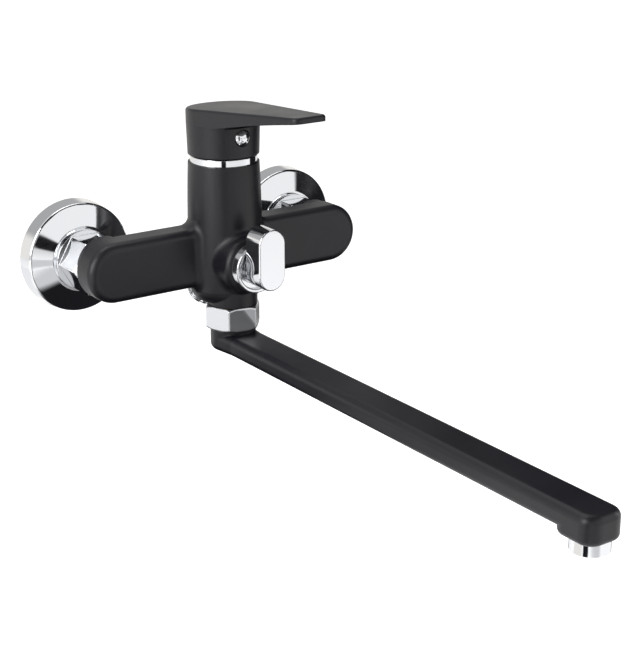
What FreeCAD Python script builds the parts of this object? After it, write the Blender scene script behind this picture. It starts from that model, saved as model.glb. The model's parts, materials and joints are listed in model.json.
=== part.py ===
"""Wall-mounted single-lever bath mixer with a long swivel spout, in millimetres.

Frame: +Z up, +Y into the wall, the user stands at -Y. The origin lies on the finished wall, midway between
the two wall inlets. Heights of the tap's own pieces are counted from its inlet axis, which the eccentric
unions carry above the wall inlets, and distances along its arms from the axis of the cartridge column.
"""
import FreeCAD, Part
import math
import os
import re

import Sketcher

Vector = FreeCAD.Vector

DIMS = {
    # Wall connection
    "inlet_spacing": 150.0,
    "axis_from_wall": 56.2,
    "union_offset": 10.0,
    "wall_thread_radius": 10.48,
    "wall_thread_length": 15.0,
    "tap_thread_radius": 13.22,
    "union_bend": 10.0,
    "union_length": 33.7,
    "union_bore": 6.5,
    "thread_fit": 0.05,
    # Union nuts, gaskets and inlet tails
    "gasket_thickness": 2.0,
    "gasket_bore": 8.0,
    "flange_radius": 12.6,
    "flange_thickness": 2.0,
    "tail_radius": 10.3,
    "tail_bore": 7.0,
    "tail_depth": 14.0,
    "nut_lip": 2.3,
    "nut_length": 24.7,
    "nut_collar_radius": 18.8,
    "nut_collar_length": 3.5,
    "nut_flats": 31.5,
    "nut_chamfer": 1.2,
    "nut_gap": 0.7,
    "nut_hole_fit": 0.3,
    # Escutcheons
    "escutcheon_radius": 34.3,
    "escutcheon_rim": 11.2,
    "escutcheon_face_radius": 33.4,
    "escutcheon_top_radius": 20.0,
    "escutcheon_wall": 1.2,
    "escutcheon_round": 1.8,
    "escutcheon_gap": 0.3,
    # Cast body
    "arm_radius": 18.0,
    "arm_front": 6.0,
    "arm_back": 12.5,
    "arm_edge": 5.2,
    "arm_round": 2.2,
    "arm_blend": 6.0,
    "arm_rise": 1.8,
    "arm_end": 94.5,
    "elbow_radius": 17.1,
    "elbow_root": 4.0,
    "elbow_rise": 2.8,
    "elbow_step": 0.6,
    "column_top": 58.3,
    "column_top_radius": 21.4,
    "column_low_radius": 21.6,
    "column_bottom": 27.2,
    "column_round": 4.8,
    "column_barrel": 900.0,
    "foot_height": 19.0,
    "foot_radius": 14.5,
    "foot_round": 9.0,
    "outlet_boss_radius": 15.2,
    "outlet_boss_drop": 0.8,
    "outlet_boss_height": 10.0,
    "diverter_boss_radius": 17.5,
    "diverter_boss_front": 31.0,
    "diverter_boss_round": 4.5,
    "diverter_boss_blend": 5.0,
    "shower_boss_radius": 13.0,
    "shower_boss_length": 5.0,
    "shower_boss_root": 8.0,
    "shower_back": 16.0,
    "shower_down": 18.0,
    # Waterways in the body
    "way_radius": 5.5,
    "way_back": 5.0,
    "way_inner": 5.5,
    "port_radius": 3.0,
    "port_side": 7.5,
    "port_front": 1.0,
    "port_back": 8.0,
    "mixed_rise": 5.0,
    "shower_fall": 4.5,
    "spout_way_radius": 8.0,
    "spout_way_top": 8.5,
    # Cartridge
    "chamber_floor": 14.0,
    "cartridge_radius": 17.4,
    "cartridge_fit": 0.2,
    "cartridge_wall": 2.1,
    "base_height": 6.0,
    "disc_recess": 2.0,
    "disc_fit": 0.1,
    "fixed_disc_radius": 14.4,
    "fixed_disc_height": 5.0,
    "moving_disc_radius": 10.4,
    "moving_disc_height": 5.0,
    "mixing_recess_radius": 4.8,
    "mixing_recess_back": 5.0,
    "mixing_recess_depth": 2.5,
    "seal_radius": 4.2,
    "seal_section": 0.6,
    "carrier_radius": 10.2,
    "carrier_height": 10.6,
    "carrier_gap": 0.4,
    "yoke_flange_radius": 14.9,
    "yoke_flange_height": 3.3,
    "yoke_radius": 10.0,
    "yoke_top": 56.0,
    "yoke_fit": 0.3,
    "yoke_window": 8.0,
    "roof_height": 2.6,
    "pin_height": 47.0,
    "pin_radius": 1.5,
    "pin_fit": 0.03,
    "stem_half": 4.0,
    "stem_fit": 0.2,
    "stem_top": 80.0,
    "stem_shoulder": 3.0,
    "tongue_half": 2.0,
    "tongue_reach": 10.0,
    "tongue_radius": 3.0,
    "tongue_fit": 0.35,
    "tongue_pocket": 4.6,
    "cartridge_nut_radius": 19.1,
    "cartridge_nut_height": 7.8,
    "cartridge_nut_bore": 13.0,
    # Trim ring
    "trim_radius": 20.2,
    "trim_height": 4.7,
    "trim_bore": 17.0,
    "trim_skirt": 5.0,
    "trim_chamfer": 0.8,
    # Lever handle
    "handle_gap": 0.3,
    "handle_foot_radius": 21.4,
    "handle_radius": 22.0,
    "handle_top": 91.5,
    "handle_round": 1.6,
    "blade_slope": 0.088,
    "blade_depth": 9.1,
    "blade_leave": 19.0,
    "blade_curve": 900.0,
    "handle_reach": 92.2,
    "blade_tip_depth": 3.4,
    "blade_tip_half": 11.4,
    "blade_tip_round": 5.5,
    "handle_cavity_radius": 20.2,
    "handle_cavity_top": 75.0,
    "handle_boss_radius": 7.5,
    "handle_boss_bottom": 66.0,
    "handle_rib_half": 6.0,
    "handle_rib_bottom": 69.5,
    "plug_height": 75.4,
    "plug_radius": 4.7,
    "plug_fit": 0.45,
    "plug_seat": 17.0,
    "plug_edge": 21.6,
    "plug_dome": 23.8,
    "grub_radius": 2.5,
    "grub_length": 10.0,
    "key_share": 0.55,
    "key_depth": 2.5,
    # Diverter
    "diverter_bore_radius": 11.0,
    "diverter_bore_depth": 22.0,
    "diverter_fit": 0.1,
    "diverter_disc_radius": 8.8,
    "diverter_disc_height": 2.4,
    "diverter_cavity_radius": 9.0,
    "diverter_flange_radius": 13.2,
    "diverter_flange_height": 2.0,
    "diverter_drive_radius": 6.0,
    "diverter_drive_height": 2.0,
    "diverter_spindle_radius": 4.0,
    "diverter_spindle_fit": 0.06,
    "diverter_ring_section": 0.7,
    "ring_groove": 1.9,
    "diverter_ring_place": 24.0,
    "diverter_seal_place": 26.0,
    "bonnet_radius": 15.0,
    "bonnet_length": 6.0,
    "bonnet_web": 1.2,
    "bonnet_recess_radius": 12.6,
    "bonnet_hole_fit": 0.5,
    "bonnet_round": 0.8,
    "knob_gap": 0.6,
    "knob_half": 8.95,
    "knob_low": 1.25,
    "knob_high": 17.65,
    "knob_depth": 14.4,
    "knob_round": 1.0,
    "knob_hub_radius": 8.0,
    "knob_bore_depth": 11.5,
    "knob_screw_radius": 2.0,
    "knob_screw_length": 4.5,
    # Spout outlet and swivel nut
    "spout_forward": 7.4,
    "outlet_root_radius": 11.0,
    "outlet_root_length": 10.0,
    "spout_nut_gap": 0.3,
    "spout_nut_flats": 30.6,
    "spout_nut_height": 14.6,
    "spout_nut_lip": 1.8,
    "spout_nut_hole_fit": 0.5,
    "split_ring_gap": 0.25,
    "split_ring_thickness": 1.6,
    "split_ring_radius": 12.6,
    "split_ring_slot": 3.0,
    "split_groove_radius": 7.6,
    # Spout
    "spout_tail_radius": 8.9,
    "spout_tail_fit": 0.1,
    "spout_tail_bore": 6.0,
    "spout_tail_top": 22.6,
    "spout_ring_section": 0.75,
    "spout_ring_fit": 0.06,
    "spout_ring_first": 4.0,
    "spout_ring_pitch": 6.0,
    "spout_root_radius": 13.9,
    "spout_step": 2.2,
    "bar_half": 12.0,
    "bar_flare": 16.0,
    "bar_height": 11.8,
    "bar_top_round": 4.2,
    "bar_low_round": 3.5,
    "spout_reach": 310.0,
    "spout_nose": 11.6,
    "nose_round": 8.0,
    "head_heel": 15.0,
    "heel_round": 8.0,
    "head_drop": 3.7,
    "head_low_round": 3.0,
    "channel_radius": 3.6,
    # Aerator
    "aerator_radius": 10.0,
    "aerator_proud": 6.3,
    "aerator_depth": 6.6,
    "aerator_wall": 1.3,
    "aerator_fit": 0.05,
    "aerator_lip": 0.8,
    "insert_recess": 1.0,
    "insert_hole": 1.25,
    "insert_pitch": 3.3,
    "washer_thickness": 1.5,
    "washer_bore": 6.5,
    # Shower connection
    "shower_thread_radius": 10.48,
    "shower_thread_length": 10.0,
    "shower_collar_radius": 11.6,
    "shower_collar_height": 2.0,
    "shower_root_radius": 8.5,
    "shower_root_length": 13.5,
    "shower_bore": 6.0,
    "shower_ring_section": 0.7,
    "shower_ring_place": 3.0,
}

CORNER_OF_FLATS = 1 / math.sqrt(3)
SLANT = math.sqrt(0.5)
BLADE_TANGENT = math.radians(7.0)
SPOUT_NUT_TURN = -9.5

TURN = {
    "up": FreeCAD.Rotation(),
    "front": FreeCAD.Rotation(Vector(1, 0, 0), 90),
    "back": FreeCAD.Rotation(Vector(1, 0, 0), -90),
    "right": FreeCAD.Rotation(Vector(0, 1, 0), 90),
    "left": FreeCAD.Rotation(Vector(0, 1, 0), -90),
    "back_down": FreeCAD.Rotation(Vector(1, 0, 0), -135),
}

doc = FreeCAD.newDocument("bath_mixer_tap")
sheet = doc.addObject("Spreadsheet::Sheet", "Dims")
for row, (alias, value) in enumerate(DIMS.items(), 1):
    sheet.set(f"A{row}", alias)
    sheet.set(f"B{row}", str(value))
    sheet.setAlias(f"B{row}", alias)
doc.recompute()

pieces = []


def ref(text):
    """The text with each alias turned into a reference to its cell."""
    return re.sub(r"\b[a-z_]+\b", lambda w: "Dims." + w.group(0) if w.group(0) in DIMS else w.group(0), text)


def bind(thing, prop, text):
    thing.setExpression(prop, ref(text))


def number(text):
    return float(sheet.evalExpression(ref(text)))


def place(thing, at, turn):
    """Turns a thing and ties its place to the sheet."""
    thing.Placement = FreeCAD.Placement(Vector(), TURN[turn])
    for axis, text in zip("xyz", at):
        bind(thing, f".Placement.Base.{axis}", text)


def in_row(at):
    """A place told from the tap's middle, in the row's frame: its origin is on the left inlet's axis."""
    across, depth, height = at
    return f"inlet_spacing / 2 + ({across})", depth, height


def new_body(label, at, turn="up"):
    body = doc.addObject("PartDesign::Body", label)
    body.Label = label
    place(body, in_row(at), turn)
    pieces.append(body)
    return body


def arc_between(start, end, radius):
    """The shorter arc from start to end, turning left."""
    chord = end - start
    aside = Vector(-chord.y, chord.x, 0).normalize()
    rise = math.sqrt(max(radius ** 2 - (chord.Length / 2) ** 2, 0))
    centre = (start + end) * 0.5 + aside * rise
    return Part.Arc(start, centre - aside * radius, end)


def outline(body, name, plane, corners, level="0"):
    """A closed outline on one of the body's own planes, raised by level along that plane's normal.

    A corner is (across, up). With two more values, a radius and a side, the run that leaves it is an arc
    that turns left (1) or right (-1). Each corner and radius is tied to the sheet.
    """
    sketch = body.newObject("Sketcher::SketchObject", name)
    support = [o for o in body.Origin.OriginFeatures if o.Role == plane]
    sketch.AttachmentSupport = (support[0], "")
    sketch.MapMode = "FlatFace"
    bind(sketch, ".AttachmentOffset.Base.z", level)
    spots = [Vector(number(c[0]), number(c[1]), 0) for c in corners]
    ends = []
    for i, corner in enumerate(corners):
        start, end = spots[i], spots[(i + 1) % len(spots)]
        if len(corner) == 2:
            sketch.addGeometry(Part.LineSegment(start, end))
            ends.append((1, 2))
        elif corner[3] > 0:
            sketch.addGeometry(arc_between(start, end, number(corner[2])))
            ends.append((1, 2))
        else:
            sketch.addGeometry(arc_between(end, start, number(corner[2])))
            ends.append((2, 1))
    for i in range(len(corners)):
        after = (i + 1) % len(corners)
        sketch.addConstraint(Sketcher.Constraint("Coincident", i, ends[i][1], after, ends[after][0]))
    for i, corner in enumerate(corners):
        for kind, text in (("DistanceX", corner[0]), ("DistanceY", corner[1])):
            at = sketch.addConstraint(Sketcher.Constraint(kind, -1, 1, i, ends[i][0], number(text)))
            bind(sketch, f"Constraints[{at}]", text)
        if len(corner) > 2:
            at = sketch.addConstraint(Sketcher.Constraint("Radius", i, number(corner[2])))
            bind(sketch, f"Constraints[{at}]", corner[2])
    return sketch


def turned(body, name, corners, cut=False):
    """A solid, or a cut, turned about the body's own Z from a profile of (radius, height) corners."""
    sketch = outline(body, name + "_profile", "XZ_Plane", corners)
    feature = body.newObject("PartDesign::Groove" if cut else "PartDesign::Revolution", name)
    feature.Profile = sketch
    feature.ReferenceAxis = (sketch, ["V_Axis"])
    feature.Angle = 360
    doc.recompute()
    return feature


def run(body, name, plane, corners, level, length, cut=False):
    """An outline run by length along its plane's normal, as a solid or as a cut."""
    sketch = outline(body, name + "_outline", plane, corners, level)
    feature = body.newObject("PartDesign::Pocket" if cut else "PartDesign::Pad", name)
    feature.Profile = sketch
    feature.Reversed = cut
    bind(feature, "Length", length)
    doc.recompute()
    return feature


def rod(body, name, radius, length, at, turn="up", cut=False):
    """A round boss or a drilled hole."""
    kind = "SubtractiveCylinder" if cut else "AdditiveCylinder"
    feature = body.newObject("PartDesign::" + kind, name)
    bind(feature, "Radius", radius)
    bind(feature, "Height", length)
    place(feature, at, turn)
    doc.recompute()
    return feature


def block(body, name, size, at, cut=False):
    """A rectangular boss or slot from its low corner."""
    kind = "SubtractiveBox" if cut else "AdditiveBox"
    feature = body.newObject("PartDesign::" + kind, name)
    for prop, text in zip(("Length", "Width", "Height"), size):
        bind(feature, prop, text)
    place(feature, at, "up")
    doc.recompute()
    return feature


def soften(body, name, size, keep, kind="Fillet"):
    """Rounds, or chamfers, the edges of the body so far that pass the test keep(points)."""
    tip = body.Tip
    names = []
    for i, edge in enumerate(tip.Shape.Edges, 1):
        if keep(edge.discretize(7)):
            names.append(f"Edge{i}")
    feature = body.newObject("PartDesign::" + kind, name)
    feature.Base = (tip, names)
    bind(feature, "Radius" if kind == "Fillet" else "Size", size)
    doc.recompute()
    return feature


def flat_at(height, reach=1e9):
    """Test for edges that lie at one height, no farther than reach from the body's own Z."""
    def keep(points):
        return all(abs(p.z - height) < 1e-4 and math.hypot(p.x, p.y) < reach for p in points)
    return keep


def hexagon(turn=0.0):
    """The corners of a hexagon of unit radius."""
    angles = [math.radians(60 * k + turn) for k in range(6)]
    return [(math.cos(a), math.sin(a)) for a in angles]


def hexagon_cut(body, name, flats, level, length, turn=0.0):
    """Cuts the six flats of a spanner grip from a round piece, turned by an angle in degrees."""
    corner = f"{CORNER_OF_FLATS:.6f} * {flats}"
    grip = [(f"{x:.6f} * {corner}", f"{y:.6f} * {corner}") for x, y in hexagon(turn)]
    sketch = outline(body, name + "_outline", "XY_Plane", grip, level)
    ring = sketch.addGeometry(Part.Circle(Vector(), Vector(0, 0, 1), number(flats)))
    sketch.addConstraint(Sketcher.Constraint("Coincident", ring, 3, -1, 1))
    at = sketch.addConstraint(Sketcher.Constraint("Radius", ring, number(flats)))
    bind(sketch, f"Constraints[{at}]", flats)
    feature = body.newObject("PartDesign::Pocket", name)
    feature.Profile = sketch
    feature.Reversed = True
    bind(feature, "Length", length)
    doc.recompute()
    return feature


def o_ring(name, radius, section, at, turn="up"):
    ring = doc.addObject("Part::Torus", name)
    bind(ring, "Radius1", radius)
    bind(ring, "Radius2", section)
    place(ring, in_row(at), turn)
    return ring


def single_ring(label, radius, section, at, turn):
    """An O-ring that is a piece of its own."""
    ring = o_ring(label, radius, section, at, turn)
    ring.Label = label
    pieces.append(ring)


def group(label, members):
    together = doc.addObject("Part::Compound", label)
    together.Label = label
    together.Links = members
    pieces.append(together)
    return together


AXIS = ("0", "-axis_from_wall", "union_offset")
SPOUT_AXIS = ("0", "-axis_from_wall - spout_forward", "union_offset")
SHOWER_AXIS = ("0", "-axis_from_wall + shower_back", "union_offset - shower_down")

# Distances from the wall, along the inlet axes
FLANGE_REAR = "(union_length + gasket_thickness)"
FLANGE_FRONT = f"({FLANGE_REAR} + flange_thickness)"
NUT_FRONT = f"({FLANGE_FRONT} + nut_lip)"
NUT_REAR = f"({NUT_FRONT} - nut_length)"
BODY_REAR = f"({NUT_FRONT} + nut_gap)"
ESCUTCHEON_TOP = f"({NUT_REAR} - escutcheon_gap)"
TAIL_END = f"({BODY_REAR} + tail_depth)"
ARM_REAR = f"(axis_from_wall - {BODY_REAR})"

# Heights on the column axis
BASE_TOP = "(chamber_floor + base_height)"
DISC_LOW = f"({BASE_TOP} - disc_recess)"
DISC_TOP = f"({DISC_LOW} + fixed_disc_height)"
CARRIER_LOW = f"({DISC_TOP} + moving_disc_height)"
CARRIER_TOP = f"({CARRIER_LOW} + carrier_height)"
YOKE_LOW = f"({CARRIER_TOP} + carrier_gap)"
YOKE_NECK = f"({YOKE_LOW} + yoke_flange_height)"
ROOF_LOW = f"({YOKE_NECK} + yoke_fit)"
ROOF_TOP = f"({ROOF_LOW} + roof_height)"
CARTRIDGE_NUT_TOP = f"({ROOF_TOP} + cartridge_nut_height)"
TRIM_TOP = "(column_top + trim_height)"
HANDLE_FOOT = f"({TRIM_TOP} + handle_gap)"
BLADE_UNDER = "(handle_top - blade_depth)"
CHAMBER_RADIUS = "(cartridge_radius + cartridge_fit)"
TONGUE_HEIGHT = "(pin_height - tongue_reach)"

# Heights on the spout axis, below the inlet axis
OUTLET_LOW = "(-column_bottom - outlet_boss_drop)"
SPOUT_NUT_TOP = f"({OUTLET_LOW} - spout_nut_gap)"
SPOUT_NUT_LOW = f"({SPOUT_NUT_TOP} - spout_nut_height)"
SPOUT_NUT_CORNER = f"(spout_nut_flats * {CORNER_OF_FLATS:.6f})"
SPOUT_LIP_TOP = f"({SPOUT_NUT_LOW} + spout_nut_lip)"
SPLIT_LOW = f"({SPOUT_LIP_TOP} + split_ring_gap)"
SPLIT_TOP = f"({SPLIT_LOW} + split_ring_thickness)"
NIPPLE_LOW = f"({SPLIT_TOP} + split_ring_gap)"
SPOUT_BORE = "(spout_tail_radius + spout_tail_fit)"
ROOT_TOP = f"({SPOUT_NUT_LOW} - spout_nut_gap)"
BAR_TOP = f"({ROOT_TOP} - spout_step)"
BAR_LOW = f"({BAR_TOP} - bar_height)"
HEAD_LOW = f"({BAR_LOW} - head_drop)"
AERATOR_LOW = f"({HEAD_LOW} - aerator_proud)"
AERATOR_TOP = f"({HEAD_LOW} + aerator_depth)"
WASHER_TOP = f"({AERATOR_TOP} + washer_thickness)"

# Distances forward of the column axis, along the diverter
BORE_END = "(diverter_boss_front - diverter_bore_depth)"
DIVERTER_REAR = f"({BORE_END} + diverter_fit)"
MOVING_DISC_REAR = f"({DIVERTER_REAR} + diverter_disc_height)"
DRIVE_REAR = f"({MOVING_DISC_REAR} + diverter_disc_height)"
DRIVE_FRONT = f"({DRIVE_REAR} + diverter_drive_height)"
FLANGE_TOP = "(diverter_boss_front + diverter_flange_height)"
WEB_FRONT = f"({FLANGE_TOP} + bonnet_web)"
BONNET_FRONT = "(diverter_boss_front + bonnet_length)"
KNOB_REAR = f"({BONNET_FRONT} + knob_gap)"
KNOB_FRONT = f"({KNOB_REAR} + knob_depth)"
KNOB_BORE_END = f"({KNOB_REAR} + knob_bore_depth)"


def circle(body, name, plane, centre, radius, level):
    """A circle on one of the body's own planes."""
    sketch = body.newObject("Sketcher::SketchObject", name)
    support = [o for o in body.Origin.OriginFeatures if o.Role == plane]
    sketch.AttachmentSupport = (support[0], "")
    sketch.MapMode = "FlatFace"
    bind(sketch, ".AttachmentOffset.Base.z", level)
    spot = Vector(number(centre[0]), number(centre[1]), 0)
    sketch.addGeometry(Part.Circle(spot, Vector(0, 0, 1), number(radius)))
    for kind, text in (("DistanceX", centre[0]), ("DistanceY", centre[1])):
        at = sketch.addConstraint(Sketcher.Constraint(kind, -1, 1, 0, 3, number(text)))
        bind(sketch, f"Constraints[{at}]", text)
    at = sketch.addConstraint(Sketcher.Constraint("Radius", 0, number(radius)))
    bind(sketch, f"Constraints[{at}]", radius)
    return sketch


def neck(body, name, kind, radii):
    """The slanting stretch of an eccentric union, solid or hollow, from the wall's circle to the tap's."""
    wall = circle(body, f"{name}_wall", "XY_Plane", ("0", "-union_offset"), radii[0], "0")
    tap = circle(body, f"{name}_tap", "XY_Plane", ("0", "0"), radii[1], "union_bend")
    loft(body, name, kind, wall, tap)


def loft(body, name, kind, start, end):
    """A solid, or a cut, that runs straight from one outline to another."""
    feature = body.newObject("PartDesign::" + kind, name)
    feature.Profile = start
    feature.Sections = [end]
    doc.recompute()


def wall_union(label, at):
    """Eccentric union: wall thread, offset neck and tap thread, with a passage through all three."""
    body = new_body(label, at, "front")
    wall_end = ("0", "-union_offset", "-wall_thread_length")
    tap_end = ("0", "0", "union_bend")
    tap_length = "union_length - union_bend"
    rod(body, "wall_thread", "wall_thread_radius", "wall_thread_length", wall_end)
    neck(body, "neck", "AdditiveLoft", ("wall_thread_radius", "tap_thread_radius"))
    rod(body, "tap_thread", "tap_thread_radius", tap_length, tap_end)
    neck(body, "neck_bore", "SubtractiveLoft", ("union_bore", "union_bore"))
    rod(body, "wall_bore", "union_bore", "wall_thread_length", wall_end, cut=True)
    rod(body, "tap_bore", "union_bore", tap_length, tap_end, cut=True)


def union_gasket(label, at):
    body = new_body(label, at, "front")
    turned(body, "washer", [
        ("gasket_bore", "union_length"),
        ("flange_radius", "union_length"),
        ("flange_radius", FLANGE_REAR),
        ("gasket_bore", FLANGE_REAR),
    ])


def inlet_tail(label, at):
    """Flanged tube, screwed into the body, on which the union nut turns."""
    body = new_body(label, at, "front")
    turned(body, "tail", [
        ("tail_bore", FLANGE_REAR),
        ("flange_radius", FLANGE_REAR),
        ("flange_radius", FLANGE_FRONT),
        ("tail_radius", FLANGE_FRONT),
        ("tail_radius", TAIL_END),
        ("tail_bore", TAIL_END),
    ])


def union_nut(label, at):
    """Swivel nut: round collar towards the wall, six flats, and a lip that bears on the tail's flange."""
    body = new_body(label, at, "front")
    corner = f"(nut_flats * {CORNER_OF_FLATS:.6f})"
    collar_front = f"({NUT_REAR} + nut_collar_length)"
    turned(body, "blank", [
        ("tap_thread_radius + thread_fit", NUT_REAR),
        ("nut_collar_radius - nut_chamfer", NUT_REAR),
        ("nut_collar_radius", f"{NUT_REAR} + nut_chamfer"),
        ("nut_collar_radius", collar_front),
        (corner, collar_front),
        (corner, f"{NUT_FRONT} - nut_chamfer"),
        (f"{corner} - 1.7 * nut_chamfer", NUT_FRONT),
        ("tail_radius + nut_hole_fit", NUT_FRONT),
        ("tail_radius + nut_hole_fit", FLANGE_FRONT),
        ("tap_thread_radius + thread_fit", FLANGE_FRONT),
    ])
    hexagon_cut(body, "flats", "nut_flats", collar_front, "nut_length - nut_collar_length")


def escutcheon(label, at):
    """Pressed cover: straight rim on the wall, round shoulder and sloping face up to the nut."""
    body = new_body(label, at, "front")
    hole = "(tap_thread_radius + nut_hole_fit)"
    turned(body, "shell", [
        ("escutcheon_radius - escutcheon_wall", "0"),
        ("escutcheon_radius", "0"),
        ("escutcheon_face_radius", "escutcheon_rim"),
        ("escutcheon_top_radius", ESCUTCHEON_TOP),
        (hole, ESCUTCHEON_TOP),
        (hole, f"{ESCUTCHEON_TOP} - escutcheon_wall"),
        ("escutcheon_top_radius - escutcheon_wall / 2", f"{ESCUTCHEON_TOP} - escutcheon_wall"),
        ("escutcheon_face_radius - escutcheon_wall", "escutcheon_rim - escutcheon_wall / 2"),
    ])
    rim = number("escutcheon_rim")
    inner_rim = number("escutcheon_rim - escutcheon_wall / 2")
    soften(body, "shoulder", "escutcheon_round", flat_at(rim))
    soften(body, "inner_shoulder", "escutcheon_round - escutcheon_wall", flat_at(inner_rim))


def on_shower_axis(along):
    """A point in the body's frame, at a distance along the axis of the shower connection."""
    return ("0", f"shower_back + {SLANT:.6f} * ({along})", f"-shower_down - {SLANT:.6f} * ({along})")


def arm_rim(level):
    """Test for the edges of the arms at one depth."""
    def keep(points):
        return all(abs(p.y - level) < 1e-4 for p in points)
    return keep


def mixer_body():
    """Cast body: arms, column and bosses, blended where they meet, then bored for what they hold."""
    body = new_body("mixer_body", AXIS)
    half = "(inlet_spacing / 2)"
    middle = "(arm_end - arm_radius)"
    low = "(arm_rise - arm_radius)"
    high = "(arm_rise + arm_radius)"
    run(body, "arms", "XZ_Plane", [
        (f"-{middle}", low),
        (middle, low, "arm_radius", 1),
        ("arm_end", "arm_rise", "arm_radius", 1),
        (middle, high),
        (f"-{middle}", high, "arm_radius", 1),
        ("-arm_end", "arm_rise", "arm_radius", 1),
    ], "-arm_back", "arm_back + arm_front")
    soften(body, "arm_front_edges", "arm_edge", arm_rim(-number("arm_front")))
    soften(body, "arm_back_edges", "arm_round", arm_rim(number("arm_back")))
    for side, sign in (("left", "-"), ("right", "")):
        root = circle(body, f"{side}_elbow_root", "XZ_Plane", (sign + middle, "arm_rise"),
                      "arm_radius - elbow_step", "elbow_root - arm_back")
        rim = circle(body, f"{side}_elbow_rim", "XZ_Plane", (sign + half, "elbow_rise"), "elbow_radius",
                     f"-{ARM_REAR}")
        loft(body, f"{side}_elbow", "AdditiveLoft", root, rim)
    turned(body, "column", [
        ("0", "-column_bottom"),
        ("column_low_radius - column_round", "-column_bottom", "column_round", 1),
        ("column_low_radius", "column_round - column_bottom", "column_barrel", 1),
        ("column_top_radius", "column_top"),
        ("0", "column_top"),
    ])
    wide = number("arm_radius") + 1e-3
    rise = number("arm_rise")
    thick = number("column_low_radius") - 1.0
    slim = number("column_low_radius") + 2.0
    soften(body, "arm_blends", "arm_blend", lambda ps: all(
        abs(p.z - rise) < wide and thick < math.hypot(p.x, p.y) < slim for p in ps))
    rod(body, "diverter_boss", "diverter_boss_radius", "diverter_boss_front", ("0", "0", "0"), "front")
    boss = number("diverter_boss_radius")
    face = number("diverter_boss_front")
    soften(body, "diverter_boss_blend", "diverter_boss_blend", lambda ps: all(
        abs(math.hypot(p.x, p.z) - boss) < 1e-3 and p.y > 1e-3 - face for p in ps))
    soften(body, "diverter_boss_edge", "diverter_boss_round", lambda ps: all(
        abs(p.y + face) < 1e-4 for p in ps))
    turned(body, "foot", [
        ("column_low_radius", "-foot_height", "foot_round", -1),
        ("foot_radius", "-column_bottom"),
        ("foot_radius", "-2 * column_bottom"),
        ("2 * column_low_radius", "-2 * column_bottom"),
    ], cut=True)
    rod(body, "outlet_boss", "outlet_boss_radius", "outlet_boss_height", ("0", "-spout_forward", OUTLET_LOW))
    rod(body, "shower_boss", "shower_boss_radius", "shower_boss_root + shower_boss_length",
        on_shower_axis("-shower_boss_root"), "back_down")
    rod(body, "shower_face", "shower_boss_radius", "2 * shower_boss_radius",
        on_shower_axis("shower_boss_length"), "back_down", cut=True)
    rod(body, "nut_room", f"{SPOUT_NUT_CORNER} + spout_nut_gap", "spout_nut_height",
        ("0", "-spout_forward", f"{OUTLET_LOW} - spout_nut_height"), cut=True)

    # Seats of the cartridge, the diverter, the inlet tails and the outlets
    chamber_step = f"({ROOF_TOP} - yoke_fit)"
    turned(body, "chamber", [
        ("0", "chamber_floor"),
        (CHAMBER_RADIUS, "chamber_floor"),
        (CHAMBER_RADIUS, chamber_step),
        ("cartridge_nut_radius + thread_fit", chamber_step),
        ("cartridge_nut_radius + thread_fit", "column_top"),
        ("0", "column_top"),
    ], cut=True)
    rod(body, "diverter_bore", "diverter_bore_radius", "diverter_bore_depth",
        ("0", f"-{BORE_END}", "0"), "front", cut=True)
    for side, sign in (("left", "-"), ("right", "")):
        rod(body, f"{side}_inlet", "tail_radius + thread_fit", "tail_depth + nut_gap",
            (f"{sign}inlet_spacing / 2", ARM_REAR, "0"), "front", cut=True)
        rod(body, f"{side}_way", "way_radius", f"{half} - way_inner",
            (f"{sign}way_inner", "way_back", "0"), "left" if sign else "right", cut=True)
        rod(body, f"{side}_port", "port_radius", "chamber_floor",
            (f"{sign}port_side", "-port_front", "0"), cut=True)
    mixed = ("0", "port_back", "mixed_rise")
    rod(body, "mixed_port", "port_radius", "chamber_floor - mixed_rise", mixed, cut=True)
    rod(body, "mixed_way", "port_radius", f"port_back + {BORE_END}", mixed, "front", cut=True)
    rod(body, "spout_way", "spout_way_radius", f"-spout_way_top - {OUTLET_LOW}",
        ("0", "-spout_forward", OUTLET_LOW), cut=True)
    rod(body, "outlet_seat", "outlet_root_radius + thread_fit", "outlet_root_length + thread_fit",
        ("0", "-spout_forward", OUTLET_LOW), cut=True)
    seat_depth = "(shower_root_length - shower_boss_length + shower_ring_section)"
    rod(body, "shower_seat", "shower_root_radius + thread_fit", f"{seat_depth} + shower_boss_length",
        on_shower_axis(f"-{seat_depth}"), "back_down", cut=True)
    rod(body, "shower_way", "port_radius", f"port_back + {BORE_END}", ("0", "port_back", "-shower_fall"),
        "front", cut=True)
    rod(body, "shower_port", "port_radius", "shower_down - shower_fall",
        ("0", "port_back", "-shower_down"), cut=True)


PORTS = [("-port_side", "-port_front"), ("port_side", "-port_front"), ("0", "port_back")]


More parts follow.
